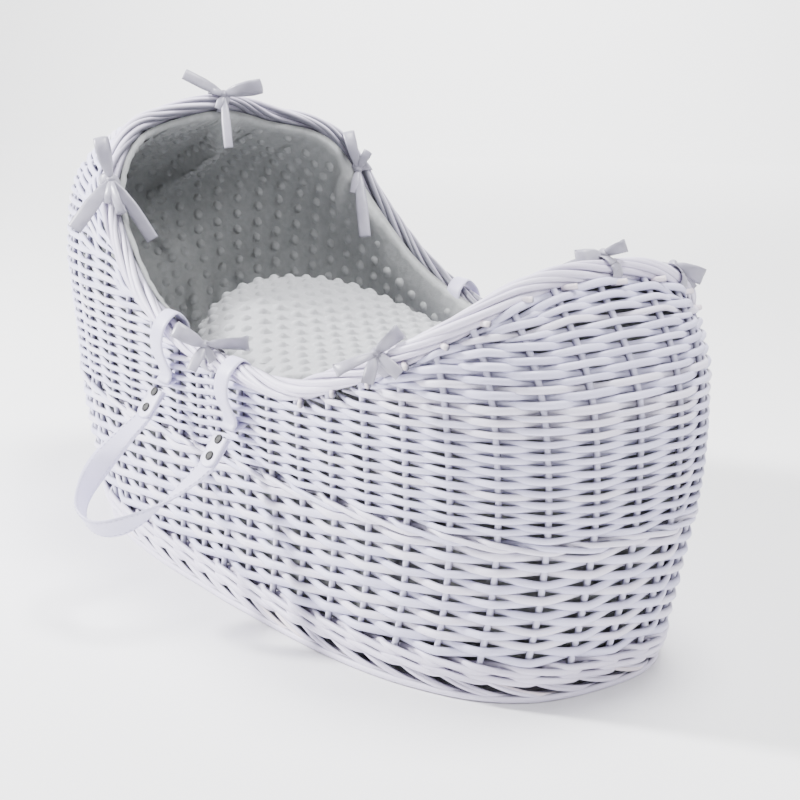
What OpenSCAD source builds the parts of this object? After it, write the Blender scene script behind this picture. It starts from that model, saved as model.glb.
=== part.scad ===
// A woven willow baby basket with a hooded head end, two leatherette carrying handles,
// a padded liner held by ribbon ties, a mattress and a puffy coverlet.
// The foot end is towards +X, the hood towards -X and +Z is up.
// The wall is one smooth surface, wall(t, z): t is the angle round the oval in degrees,
// 0 at the foot and 180 at the head, and z is the height above the floor.

/* [Basket] */
// Half the length of the base oval
base_half_l = 325; // [315:1:335]
// Half the width of the base oval
base_half_w = 150; // [146:1:156]
// Distance of the base's centre from the middle of the whole length
base_x = 58; // [40:1:80]
// Thickness of the woven wall
wall_t = 12; // [10:0.5:14]
// Number of upright stakes
stake_count = 44; // [36:2:48]
// Diameter of an upright stake
stake_d = 5.5; // [4:0.5:6.5]

/* [Rim and wales] */
// Width of the rolled rim, measured down the wall
rim_w = 19; // [16:1:24]
// Thickness of the rolled rim
rim_t = 17; // [13:0.5:19]
// Height of the middle of the wale round the waist
waist_z = 134; // [125:1:145]
// Height at which the packing of the foot end starts
foot_pack_z = 236; // [230:1:244]
// Height at which the packing of the hood starts
hood_pack_z = 242; // [236:1:250]

/* [Soft parts] */
// Thickness of the padded liner
liner_t = 5; // [3:0.5:6]
// Length of the mattress
mattress_l = 624; // [600:1:628]
// Width of the mattress
mattress_w = 256; // [240:1:258]
// Thickness of the mattress
mattress_t = 35; // [25:1:40]
// Height of the coverlet's crown at its head end
crown_z = 251; // [236:1:254]
// Width of the satin ribbon
ribbon_w = 13; // [8:1:16]

/* [Handles] */
// Width of the leatherette strap
strap_w = 21; // [16:1:24]
// Thickness of one layer of strap
strap_t = 2.6; // [2:0.1:3]
// Reach of the hand loop beyond its riveted ends
grip_reach = 103; // [90:1:120]
// Slope of the hanging hand loop below the level
grip_drop = 35; // [30:1:50]

/* [Hidden] */

willow = "#e4e2ee";
fleece = "#a9adb4";
quilt = "#cfd1d4";
satin = "#cfcbdc";
leatherette = "#dddbea";
nickel = "#8c8c90";
$fn = 32;

// Profiles of the wall: heights, then the half lengths and half widths at those heights
foot_z = [0, 90, 180, 270, 340];
foot_x = [base_half_l, 346, 357, 340, 288];
head_z = [0, 90, 180, 270, 340, 385, 415];
head_x = [base_half_l, 408, 443, 472, 448, 358, 256];
side_z = [0, 90, 180, 270, 360, 415];
side_y = [base_half_w, 150, 161, 168, 165, 153];
// Height of the rim round the basket, by angle
rim_a = [0, 35, 65, 82, 92, 102, 125, 155, 180];
rim_z = [331, 300, 249, 217, 224, 250, 364, 401, 414];
// Roundness of the oval: foot at the floor and at the top, then head at the floor and at the top
foot_round = [0.71, 0.64];
head_round = [0.63, 1.06];
round_z = 370;
clear = 0.4;
wall_out = 3;
wall_in = wall_out - wall_t;
stake_in = wall_out - wall_t / 2;
liner_out = wall_in - 3 - clear;
liner_in = liner_out - liner_t;
floor_z = 21;
wale_h = 12;
base_wale_z = 24;
ring_n = 66;
rim_n = 90;
full_turn = [for (i = [0 : rim_n - 1]) -180 + 360 * i / rim_n];

// Smooth curve through the points (xs, ys)
function seg(xs, x, i = 0) = (i >= len(xs) - 2 || x < xs[i + 1]) ? i : seg(xs, x, i + 1);
function rise(xs, ys, i) = (ys[i + 1] - ys[i]) / (xs[i + 1] - xs[i]);
function slope(xs, ys, i) =
    i == 0 ? rise(xs, ys, 0) :
    i == len(xs) - 1 ? rise(xs, ys, i - 1) :
    let (h0 = xs[i] - xs[i - 1], h1 = xs[i + 1] - xs[i])
    (rise(xs, ys, i - 1) * h1 + rise(xs, ys, i) * h0) / (h0 + h1);
function blend(xs, ys, x, m0, m1, i) =
    let (h = xs[i + 1] - xs[i], t = (x - xs[i]) / h)
    (2 * t^3 - 3 * t^2 + 1) * ys[i] + (t^3 - 2 * t^2 + t) * h * m0
    + (3 * t^2 - 2 * t^3) * ys[i + 1] + (t^3 - t^2) * h * m1;
function smooth(xs, ys, x) =
    let (i = seg(xs, x)) blend(xs, ys, x, slope(xs, ys, i), slope(xs, ys, i + 1), i);
// The same with level ends, for a curve that is mirrored at both ends
function level(xs, ys, x) =
    let (i = seg(xs, x))
    blend(xs, ys, x, i == 0 ? 0 : slope(xs, ys, i),
          i == len(xs) - 2 ? 0 : slope(xs, ys, i + 1), i);
function lerp(a, b, k) = a + (b - a) * k;
function unit(v) = v / norm(v);

// The wall's surface, its outward direction and the point at a distance off it
function rim_height(t) = level(rim_a, rim_z, abs(t));
function wall(t, z) =
    let (c = cos(t), s = abs(sin(t)), k = min(z / round_z, 1.15), w = (1 - c) / 2,
         ef = lerp(foot_round[0], foot_round[1], k), eh = lerp(head_round[0], head_round[1], k),
         x = c > 0 ? smooth(foot_z, foot_x, min(z, 360)) * c^ef : -smooth(head_z, head_x, z) * (-c)^eh,
         y = smooth(side_z, side_y, z) * s^lerp(ef, eh, w) * sign(t))
    [base_x + x, y, z];
function wrap(t) = t > 180 ? t - 360 : t < -180 ? t + 360 : t;
function outward(t, z) =
    unit(cross(wall(wrap(t + 1), z) - wall(wrap(t - 1), z), wall(t, z + 2) - wall(t, z - 2)));
function off_wall(t, z, d) = wall(t, z) + d * outward(t, z);
// How far the wall runs for each millimetre of height
function lean(t, z) = norm(wall(t, z) - wall(t, z - 2)) / 2;
// Height at a distance down the wall from the rim
function below_rim(t, d) = rim_height(t) - d * 1.12 / lean(t, rim_height(t) - 3);

// Angles that are an equal distance apart along the base
steps = 720;
function base_pt(i) = wall(-180 + 360 * i / steps, 0);
run = [for (i = 0, s = 0; i <= steps; s = i < steps ? s + norm(base_pt(i + 1) - base_pt(i)) : s, i = i + 1)
       [s, -180 + 360 * i / steps]];
base_run = run[steps][0];
function even_angle(k) = lookup(base_run * k, run);
even = [for (i = [0 : ring_n - 1]) even_angle(i / ring_n)];
stakes = [for (i = [0 : stake_count - 1]) even_angle(i / stake_count)];

// A skin over loops of points that turn anticlockwise about the direction they run in
module skin(loops, closed = true) {
    n = len(loops);
    m = len(loops[0]);
    spans = closed ? n : n - 1;
    half = m / 2;
    sides = [for (i = [0 : spans - 1], j = [0 : m - 1])
             let (a = i * m + j, b = ((i + 1) % n) * m + j, c = ((i + 1) % n) * m + (j + 1) % m,
                  d = i * m + (j + 1) % m)
             each [[a, b, c], [a, c, d]]];
    first = [for (i = [0 : half - 2]) each [[i, i + 1, m - 2 - i], [i, m - 2 - i, m - 1 - i]]];
    e = (n - 1) * m;
    last = [for (f = first) [e + f[2], e + f[1], e + f[0]]];
    polyhedron([for (l = loops) each l], closed ? sides : concat(sides, first, last));
}

// Loops of a rod of half sizes ra across the wall and rb along it
function rod(pts, out, ra, rb, n, closed) =
    let (c = len(pts))
    [for (i = [0 : c - 1])
     let (a = pts[closed ? (i + c - 1) % c : max(i - 1, 0)],
           b = pts[closed ? (i + 1) % c : min(i + 1, c - 1)],
          t = unit(b - a), s = unit(cross(t, out[i])), o = cross(s, t))
     [for (j = [0 : n - 1]) pts[i] + ra * cos(360 * j / n) * o + rb * sin(360 * j / n) * s]];

// Loops of a rope laid round the wall: strands bulge from it and turn along it
function rope(ts, zs, d, ra, rb, strands, turns, n) =
    let (c = len(ts), pts = [for (i = [0 : c - 1]) off_wall(ts[i], zs[i], d)])
    [for (i = [0 : c - 1])
     let (t = unit(pts[(i + 1) % c] - pts[(i + c - 1) % c]), s = unit(cross(t, outward(ts[i], zs[i]))),
          o = cross(s, t))
     [for (j = [0 : n - 1])
      let (a = 360 * j / n, g = 0.9 + 0.1 * cos(strands * (a + 360 * turns * i / c)))
      pts[i] + g * ra * cos(a) * o + g * rb * sin(a) * s]];

// Loops of a band of wall between two heights at each angle
function band(ts, lo, hi, d_in, d_out, rows) =
    [for (i = [0 : len(ts) - 1])
     let (zs = [for (k = [0 : rows]) lerp(lo[i], hi[i], sin(90 * k / rows))])
     [for (k = [rows : -1 : 0]) off_wall(ts[i], zs[k], d_out),
      for (k = [0 : rows]) off_wall(ts[i], zs[k], d_in)]];
function same(ts, z) = [for (t = ts) z];

// --- Base -------------------------------------------------------------------
module base_stick(x, y, len, along_x) {
    translate([base_x + x, y, 15])
        rotate(along_x ? [0, 90, 0] : [90, 0, 0])
            cylinder(h = len, d = 8, center = true);
}

module base_sticks() {
    color(willow) {
        for (y = [-40, 0, 40]) base_stick(0, y, 2 * base_half_l - 60, true);
        for (i = [-6 : 6]) base_stick(i * 42, 0, 2 * base_half_w - 50 - 1.6 * i * i, false);
    }
}

module base_weave() {
    pts = [for (t = even) let (p = off_wall(t, 12, -15)) [p[0], p[1]]];
    color(willow) translate([0, 0, 11]) linear_extrude(floor_z - 11) polygon(pts);
}

// The rod that the basket stands on, flat where it meets the floor
module foot_hoop() {
    color(willow) skin([for (t = even)
        let (o = outward(t, 4), p = wall(t, 4), q = [p[0], p[1], 0], h = unit([o[0], o[1], 0]))
        [q + h + [0, 0, 7], q + 3 * h + [0, 0, 3.5], q + 2 * h, q - 4 * h,
         q - 5 * h + [0, 0, 3.5], q - 3 * h + [0, 0, 7]]]);
}

// The open row of arches above it, one from each stake, alternately inside and outside
module foot_border() {
    color(willow) for (i = [0 : stake_count - 1]) {
        ts = [for (k = [0 : 4]) even_angle(min((i + 0.1 + 0.32 * k) / stake_count, 1))];
        zs = [for (k = [0 : 4]) 9 + 6.5 * sin(45 * k)];
        skin(rod([for (k = [0 : 4]) off_wall(ts[k], zs[k], i % 2 == 0 ? -7.4 : 0.2)],
                 [for (k = [0 : 4]) outward(ts[k], zs[k])], 3, 2.6, 6, false), false);
    }
}

// --- Woven wall -------------------------------------------------------------
module base_wale() {
    color(willow) skin(rope(even, same(even, base_wale_z), -3, 8, wale_h / 2, 3, 15, 10));
}

module side_stakes() {
    color(willow) for (t = stakes) {
        top = below_rim(t, rim_w / 2 + 1);
        zs = [for (k = [0 : 6]) lerp(base_wale_z + wale_h / 2 + 1, top, sin(15 * k))];
        skin(rod([for (z = zs) off_wall(t, z, stake_in)], [for (z = zs) outward(t, z)],
                 stake_d / 2, stake_d / 2, 6, false), false);
    }
}

module lower_weave() {
    color(willow) skin(band(even, same(even, base_wale_z + wale_h / 2 + clear),
                            same(even, waist_z - wale_h / 2 - clear), wall_in, wall_out, 3));
}

module waist_wale() {
    color(willow) skin(rope(even, same(even, waist_z), stake_in, 7.5, wale_h / 2, 2, 18, 10));
}

function weave_top(t) =
    let (r = below_rim(t, rim_w / 2 + 1))
    abs(t) < 90 ? min(r, foot_pack_z - clear) : min(r, hood_pack_z - clear);

module upper_weave() {
    color(willow) skin(band(even, same(even, waist_z + wale_h / 2 + clear),
                            [for (t = even) weave_top(t)], wall_in, wall_out, 4));
}

module packing(ts, lo) {
    color(willow) skin(band(ts, same(ts, lo), [for (t = ts) below_rim(t, rim_w / 2 + 1)],
                            wall_in, wall_out, 6), false);
}

function packed(t, z) = below_rim(t, rim_w / 2 + 1) > z + 4;
foot_ts = [for (t = even) if (abs(t) < 90 && packed(t, foot_pack_z)) t];
hood_ts = concat([for (t = even) if (t > 90 && packed(t, hood_pack_z)) t],
                 [for (t = even) if (t < -90 && packed(t, hood_pack_z)) t]);
module foot_packing() { packing(foot_ts, foot_pack_z + clear); }
module hood_packing() { packing(hood_ts, hood_pack_z + clear); }

module rim_border() {
    ts = full_turn;
    color(willow) skin(rope(ts, [for (t = ts) rim_height(t)], stake_in, rim_t / 2, rim_w / 2, 4, 11, 12));
}

// --- Soft parts -------------------------------------------------------------
module liner() {
    color(fleece) skin(band(even, same(even, floor_z + 1), [for (t = even) below_rim(t, 3)],
                            liner_in, liner_out, 5));
}

// Outline of the sleeping space at a height, with the head end drawn in to a fraction of its length
function space(z, d, head) =
    [for (t = even) let (p = off_wall(t, z, liner_in - d), x = p[0] - base_x)
     [base_x + (x < 0 ? x * head : x), p[1], z]];

module mattress() {
    outline = [for (a = [0 : 6 : 354])
               [mattress_l / 2 * sign(cos(a)) * abs(cos(a))^0.7,
                mattress_w / 2 * sign(sin(a)) * abs(sin(a))^0.7]];
    color(quilt) translate([base_x - 6, 0, floor_z + clear]) linear_extrude(mattress_t) polygon(outline);
}

mattress_top = floor_z + clear + mattress_t;
band_z = 184;
head_in = 0.41;
crest_x = -92;
back_z = 213;
function inset(p, k, z) = [crest_x + (p[0] - crest_x) * k, p[1] * k, z];
// Height of the coverlet's ridge: a mound at the head end that runs out towards the foot
function ridge(x) = back_z + (crown_z - back_z) * exp(-(max(x - crest_x, 0) / 98)^2);

// The pale binding round the coverlet's edge, between its side and the crown
module sheet_band() {
    color(satin) skin([for (t = even)
        let (a = off_wall(t, band_z, liner_in - 4), b = off_wall(t, band_z, liner_in - 12))
        [head_point(a, band_z + 12), head_point(a, band_z),
          head_point(b, band_z), head_point(b, band_z + 12)]]);
}
function head_point(p, z) = let (x = p[0] - base_x) [base_x + (x < 0 ? x * head_in : x), p[1], z];

module coverlet() {
    side = [for (z = [mattress_top + clear, 100, 150, band_z - clear]) space(z, 5, head_in)];
    edge = space(band_z, 13, head_in);
    top = [for (k = [0.995, 0.97, 0.9, 0.8, 0.65, 0.45, 0.22, 0.02])
           [for (p = edge)
            let (q = inset(p, k, 0))
            [q[0], q[1], band_z + 14 + (ridge(q[0]) - band_z - 14) * sqrt(max(0, 1 - k^2.8))]]];
    ledge = [[for (p = edge) inset(p, 1, band_z - clear)], [for (p = edge) inset(p, 1, band_z + 12)]];
    color(quilt) skin([for (l = concat(side, ledge, top)) l], false);
}

// --- Ribbon ties ------------------------------------------------------------
// A bow beside the rim: local x runs along the rim, y points outwards and z up
module at_rim(t, d) {
    p = off_wall(t, rim_height(t), stake_in + d);
    q = wall(wrap(t + 2), rim_height(wrap(t + 2))) - wall(wrap(t - 2), rim_height(wrap(t - 2)));
    x = -unit(q);
    o = outward(t, rim_height(t));
    y = unit(o - (o * x) * x);
    z = cross(x, y);
    multmatrix([[x[0], y[0], z[0], p[0]], [x[1], y[1], z[1], p[1]], [x[2], y[2], z[2], p[2]], [0, 0, 0, 1]])
        children();
}

function drop(l, w, grow) =
    [for (a = [0 : 15 : 345])
         [l / 2 + (l / 2 + grow) * cos(a), (w / 2 + grow) * sin(a) * (0.62 + 0.38 * cos(a))]];
function oval(ra, rb) = [for (a = [0 : 15 : 345]) [ra * cos(a), rb * sin(a)]];
ribbon_t = 1.2;
knot_d = 10;

module ribbon_loop(l) {
    translate([1, 0, -ribbon_w / 2]) linear_extrude(ribbon_w) difference() {
        polygon(drop(l, 15, 0));
        polygon(drop(l, 15, -ribbon_t));
    }
}

module ribbon_tail(l, side) {
    translate([side * 3, -ribbon_t / 2, 0])
        rotate([0, side * 9, 0]) translate([-ribbon_w / 2, 0, -l]) cube([ribbon_w, ribbon_t, l]);
}

// The ribbon's turn round the rim
module rim_turn() {
    ra = rim_t / 2 + clear;
    rb = rim_w / 2 + clear;
    translate([-ribbon_w / 2, 0, 0]) rotate([90, 0, 90]) linear_extrude(ribbon_w) difference() {
        polygon(oval(ra + ribbon_t, rb + ribbon_t));
        polygon(oval(ra, rb));
    }
}

module bow(t, loop_l = 34, tail_l = 52) {
    color(satin) at_rim(t, 0) {
        rim_turn();
        translate([0, rim_t / 2 + ribbon_t + knot_d / 2, 0]) {
            rotate([0, 90, 0]) cylinder(h = 9, d = knot_d, center = true);
            translate([3, 0, 0]) ribbon_loop(loop_l);
            mirror([1, 0, 0]) translate([3, 0, 0]) ribbon_loop(loop_l);
            ribbon_tail(tail_l, 1);
            ribbon_tail(tail_l * 0.85, -1);
        }
    }
}

module tie_hood_top() { bow(180, 32, 50); }
module tie_hood_near() { bow(-120); }
module tie_hood_far() { bow(120); }
module tie_side_near() { bow(-90, 24, 30); }
module tie_side_far() { bow(90, 24, 30); }
module tie_waist_near() { bow(-57.5, 26, 40); }
module tie_waist_far() { bow(57.5, 26, 40); }
module tie_foot_near() { bow(1); }
module tie_foot_far() { bow(22); }

// --- Handles ----------------------------------------------------------------
// Each strap end turns over the rim and comes back through the weave at a pinch point.
// Head and foot pinch points of the near handle; the far handle is its mirror image.
pinch_head = [base_x - 67, -172, 186];
pinch_foot = [base_x + 42, -172, 169];
swing = unit(pinch_foot - pinch_head);
grip_n = 24;

// Middle line of the loop over the rim: outwards from the pinch point, and up from it
rim_loop_path = [[0, 0], [-3, 6], [-2, 13], [2, 22], [5.5, 32], [6, 42], [3, 53], [-3, 61],
                 [-9.5, 65], [-15, 62], [-20, 55], [-22, 44], [-22, 30], [-21, 16], [-16, 7], [-8, 2]];
function loop_side(grow, stretch) =
    let (p = [for (q = rim_loop_path) [q[0], q[1] * stretch]], n = len(p))
    [for (i = [0 : n - 1]) let (d = unit(p[(i + 1) % n] - p[(i + n - 1) % n])) p[i] + grow * [d[1], -d[0]]];

module rim_loop(pinch, stretch) {
    color(leatherette)
        translate(pinch + [-strap_w / 2, 0, 1.5])
            rotate([90, 0, 90])
                mirror([1, 0, 0]) linear_extrude(strap_w) difference() {
                    polygon(loop_side(strap_t / 2, stretch));
                    polygon(loop_side(-strap_t / 2, stretch));
                }
}

// The hand loop: a flat strap that leaves each pinch point, is doubled and riveted,
// then turns on edge and runs round in a U
function grip_dir(a) = [0, -cos(a), -sin(a)];
tab_slope = 56;
tab_start = 4.5;
tab_l = 33;
function grip_pt(k) =
    let (s = (k - 0.5) * 180, hw = norm(pinch_foot - pinch_head) / 2, mid = (pinch_head + pinch_foot) / 2,
         side = hw * sign(sin(s)) * abs(sin(s))^0.9, reach = grip_reach * cos(s)^0.85)
    mid + side * swing + tab_l * grip_dir(tab_slope) + reach * grip_dir(grip_drop);
// Part of a quarter turn that the strap has made from lying flat to standing on edge
function on_edge(k) = let (e = min(k, 1 - k) * 2) min(1, e * 1.6);
function grip_loop(k) =
    let (p = grip_pt(k), q = grip_pt(min(k + 0.01, 1)), r = grip_pt(max(k - 0.01, 0)),
         t = unit(q - r), flat = swing, tall = unit(cross(swing, grip_dir(grip_drop))),
         w0 = unit(lerp(flat * (k < 0.5 ? 1 : -1), tall, on_edge(k))), w = unit(w0 - (w0 * t) * t),
         d = cross(t, w))
    [p + w * strap_w / 2 + d * strap_t / 2, p - w * strap_w / 2 + d * strap_t / 2,
     p - w * strap_w / 2 - d * strap_t / 2, p + w * strap_w / 2 - d * strap_t / 2];

module tab(pinch) {
    translate(pinch) rotate([tab_slope - 180, 0, 0]) {
        translate([-strap_w / 2, tab_start, -strap_t]) cube([strap_w, tab_l - tab_start, 2 * strap_t]);
    }
}

module near_grip_shape() {
    color(leatherette) {
        skin([for (i = [0 : grip_n]) grip_loop(i / grip_n)], false);
        tab(pinch_head);
        tab(pinch_foot);
    }
}

module rivet_pair(pinch) {
    translate(pinch) rotate([tab_slope - 180, 0, 0]) for (d = [9.5, 25])
        translate([0, d, 0]) difference() {
            cylinder(h = 2 * strap_t + 3, d = 9, center = true);
            cylinder(h = 2 * strap_t + 4, d = 3.6, center = true);
        }
}

module near_rivets_shape() {
    color(nickel) {
        rivet_pair(pinch_head);
        rivet_pair(pinch_foot);
    }
}

module near_loop_head() { rim_loop(pinch_head, 0.96); }
module near_loop_foot() { rim_loop(pinch_foot, 0.91); }
module near_grip() { near_grip_shape(); }
module near_rivets() { near_rivets_shape(); }
module far_loop_head() { mirror([0, 1, 0]) near_loop_head(); }
module far_loop_foot() { mirror([0, 1, 0]) near_loop_foot(); }
module far_grip() { mirror([0, 1, 0]) near_grip_shape(); }
module far_rivets() { mirror([0, 1, 0]) near_rivets_shape(); }

base_sticks();
base_weave();
foot_hoop();
foot_border();
base_wale();
side_stakes();
lower_weave();
waist_wale();
upper_weave();
foot_packing();
hood_packing();
rim_border();
liner();
mattress();
sheet_band();
coverlet();
tie_hood_top();
tie_hood_near();
tie_hood_far();
tie_side_near();
tie_side_far();
tie_waist_near();
tie_waist_far();
tie_foot_near();
tie_foot_far();
near_loop_head();
near_loop_foot();
near_grip();
near_rivets();
far_loop_head();
far_loop_foot();
far_grip();
far_rivets();
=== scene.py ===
# %% [markdown]
# # A hooded willow baby basket
# The real basket is woven from willow rods, painted lilac white, lined with dimple fleece and tied
# with satin bows. The CAD frame holds its true sizes; this file gives every piece its looks.
# We load the frame first, so that everything is made in metres, where the CAD says it is.

# %% Load the frame
import math
import bpy
import numpy as np
from mathutils import Matrix, Vector
from mathutils.bvhtree import BVHTree


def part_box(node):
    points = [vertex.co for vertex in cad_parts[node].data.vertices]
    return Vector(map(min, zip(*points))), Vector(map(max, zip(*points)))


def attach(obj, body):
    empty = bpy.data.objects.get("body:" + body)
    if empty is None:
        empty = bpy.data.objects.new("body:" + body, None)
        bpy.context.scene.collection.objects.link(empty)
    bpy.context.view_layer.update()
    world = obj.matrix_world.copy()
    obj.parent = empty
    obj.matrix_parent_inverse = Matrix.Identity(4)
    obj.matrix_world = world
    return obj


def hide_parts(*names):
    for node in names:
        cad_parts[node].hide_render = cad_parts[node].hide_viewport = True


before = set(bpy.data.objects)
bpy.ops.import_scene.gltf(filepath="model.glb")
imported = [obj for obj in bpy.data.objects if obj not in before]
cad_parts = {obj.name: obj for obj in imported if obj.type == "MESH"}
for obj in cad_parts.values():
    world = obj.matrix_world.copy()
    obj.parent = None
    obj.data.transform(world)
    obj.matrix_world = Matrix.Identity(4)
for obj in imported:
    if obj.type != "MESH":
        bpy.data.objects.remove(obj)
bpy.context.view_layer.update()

bpy.ops.object.select_all(action="DESELECT")
rng = np.random.default_rng(7)

# %% [markdown]
# ## Camera, floor and light
# A lens of about 78 mm from a metre and a half away keeps the basket's lines nearly parallel.
# A key lamp from the left, a soft one above and a white room give the shadows of a catalogue studio,
# and the paper floor curves up behind the basket into a lit backdrop.

# %% Camera
AZIMUTH = math.radians(53.03)
ELEVATION = math.radians(14.47)
ROLL = math.radians(1.54)
DISTANCE = 1.563
back = Vector((math.sin(AZIMUTH) * math.cos(ELEVATION), -math.cos(AZIMUTH) * math.cos(ELEVATION),
               math.sin(ELEVATION)))
side = Vector((math.cos(AZIMUTH), math.sin(AZIMUTH), 0))
rise = back.cross(side)
aim = Vector((0.058, 0, 0.2)) + side * 0.0312 - rise * 0.0346
camera = bpy.data.objects.new("camera", bpy.data.cameras.new("camera"))
camera.data.lens = 77.7
turned = Matrix((side, rise, back)).transposed().to_4x4() @ Matrix.Rotation(ROLL, 4, "Z")
camera.matrix_world = Matrix.Translation(aim + back * DISTANCE) @ turned
bpy.context.collection.objects.link(camera)
bpy.context.scene.camera = camera
print("camera at", [round(x, 3) for x in camera.location])


# %% Helpers for node materials
def new_material(name, looks):
    """A node material; looks are the set values of its shader."""
    material = bpy.data.materials.new(name)
    material.use_nodes = True
    nodes = material.node_tree.nodes
    shader = nodes["Principled BSDF"]
    for key, value in looks.items():
        shader.inputs[key].default_value = value
    return material, nodes, material.node_tree.links, shader


def linked(name, data):
    """A new object that holds the data, in the scene."""
    holder = bpy.data.objects.new(name, data)
    bpy.context.collection.objects.link(holder)
    return holder


def add_node(nodes, kind, **inputs):
    node = nodes.new(kind)
    for key, value in inputs.items():
        if key in node.inputs:
            node.inputs[key].default_value = value
        else:
            setattr(node, key, value)
    return node


def on_object(nodes, links, kind, **inputs):
    """A texture node that reads the piece's own coordinates."""
    node = add_node(nodes, kind, **inputs)
    links.new(nodes.new("ShaderNodeTexCoord").outputs["Object"], node.inputs["Vector"])
    return node


def ramp(nodes, links, source, stops):
    """A colour ramp fed by source; stops are (place, colour)."""
    node = nodes.new("ShaderNodeValToRGB")
    while len(node.color_ramp.elements) < len(stops):
        node.color_ramp.elements.new(0.5)
    for element, (place, colour) in zip(node.color_ramp.elements, stops):
        element.position = place
        element.color = (*colour, 1)
    links.new(source, node.inputs["Fac"])
    return node.outputs["Color"]


def bump(nodes, links, shader, sources):
    """Bumps chained one after another; sources are (height output, strength, distance in metres)."""
    normal = None
    for height, strength, distance in sources:
        node = add_node(nodes, "ShaderNodeBump", Strength=strength, Distance=distance)
        links.new(height, node.inputs["Height"])
        if normal:
            links.new(normal, node.inputs["Normal"])
        normal = node.outputs["Normal"]
    links.new(normal, shader.inputs["Normal"])


# %% Floor, room and lamps
def paper_floor():
    bpy.ops.mesh.primitive_plane_add(size=14, location=(0, 0, 0))
    floor = bpy.context.object
    floor.name = "floor"
    material, nodes, links, shader = new_material("floor_paper", {"Roughness": 0.9})
    noise = add_node(nodes, "ShaderNodeTexNoise", Scale=3.0, Detail=2.0)
    paper = ramp(nodes, links, noise.outputs["Fac"], [(0.3, (0.93, 0.93, 0.935)), (0.7, (0.95, 0.95, 0.955))])
    links.new(paper, shader.inputs["Base Color"])
    away = Vector((-math.sin(AZIMUTH), math.cos(AZIMUTH), 0))
    verts = [away * (3.2 + 1.8 * math.sin(a)) + side * w + Vector((0, 0, 3.62 * (1 - math.cos(a)) - 0.02))
             for a in np.radians(np.arange(0, 91, 6)) for w in (-6, 6)]
    sweep = bpy.data.meshes.new("backdrop")
    sweep.from_pydata(verts, [], [[k, k + 1, k + 3, k + 2] for k in range(0, len(verts) - 2, 2)])
    sweep.polygons.foreach_set("use_smooth", [True] * len(sweep.polygons))
    for piece in (floor, linked("backdrop", sweep)):
        piece.data.materials.append(material)
    bpy.ops.object.select_all(action="DESELECT")


def softbox(name, place, target, size, power):
    lamp = bpy.data.lights.new(name, "AREA")
    lamp.shape = "RECTANGLE"
    lamp.size, lamp.size_y = size
    lamp.energy = power
    holder = linked(name, lamp)
    holder.location = place
    holder.rotation_euler = (Vector(target) - Vector(place)).to_track_quat("-Z", "Y").to_euler()


paper_floor()
softbox("key_lamp", (-1.6, -1.75, 1.6), (0, 0, 0.15), (0.35, 0.35), 250)
softbox("foot_lamp", (2.0, -0.2, 1.9), (0.1, 0, 0.2), (0.8, 0.8), 30)
softbox("top_lamp", (0.3, 0.3, 2.4), (0, 0, 0), (0.9, 0.9), 105)
softbox("backdrop_lamp", (-2.6, 2.4, 2.6), (-3.2, 2.9, 0.4), (2.0, 2.0), 210)
world = bpy.data.worlds.new("white_room")
bpy.context.scene.world = world
world.use_nodes = True
world.node_tree.nodes["Background"].inputs["Color"].default_value = (0.97, 0.975, 1.0, 1)
world.node_tree.nodes["Background"].inputs["Strength"].default_value = 0.5

# %% [markdown]
# ## The wall as one smooth surface
# A weaver shapes the basket with its stakes: they rise from an oval base, swell outwards and lean
# in again, and at the head they arch over as the hood. Every woven piece follows that one surface,
# so we write it down once: an angle t round the oval (0 at the foot, 180 at the head) and a height z
# give a point. The profiles are the frame's own, in millimetres.

# %% The wall's surface
BASE_X = 58.0
FOOT_Z, FOOT_X = [0, 90, 180, 270, 340], [325, 346, 357, 340, 288]
HEAD_Z, HEAD_X = [0, 90, 180, 270, 340, 385, 415], [325, 408, 443, 472, 448, 358, 256]
SIDE_Z, SIDE_Y = [0, 90, 180, 270, 360, 415], [150, 150, 161, 168, 165, 153]
RIM_A, RIM_Z = [0, 35, 65, 82, 92, 102, 125, 155, 180], [331, 300, 249, 217, 224, 250, 364, 401, 414]
FOOT_ROUND, HEAD_ROUND = (0.71, 0.64), (0.63, 1.06)
MIDDLE, STAKE_R, LINER_IN = -3.0, 2.75, -17.4


def smooth(xs, ys, x, level=False):
    """A smooth curve through the points, with level ends if it is mirrored there."""
    xs, ys, x = np.array(xs, float), np.array(ys, float), np.asarray(x, float)
    h, slope = np.diff(xs), np.diff(ys) / np.diff(xs)
    m = np.empty(len(xs))
    m[1:-1] = (slope[:-1] * h[1:] + slope[1:] * h[:-1]) / (h[1:] + h[:-1])
    m[0], m[-1] = (0, 0) if level else (slope[0], slope[-1])
    i = np.clip(np.searchsorted(xs, x, side="right") - 1, 0, len(xs) - 2)
    t = (x - xs[i]) / h[i]
    return ((2 * t**3 - 3 * t**2 + 1) * ys[i] + (t**3 - 2 * t**2 + t) * h[i] * m[i]
            + (3 * t**2 - 2 * t**3) * ys[i + 1] + (t**3 - t**2) * h[i] * m[i + 1])


def rim_height(t):
    return smooth(RIM_A, RIM_Z, np.abs(t), level=True)


def wrap(t):
    return (np.asarray(t, float) + 180) % 360 - 180


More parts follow.
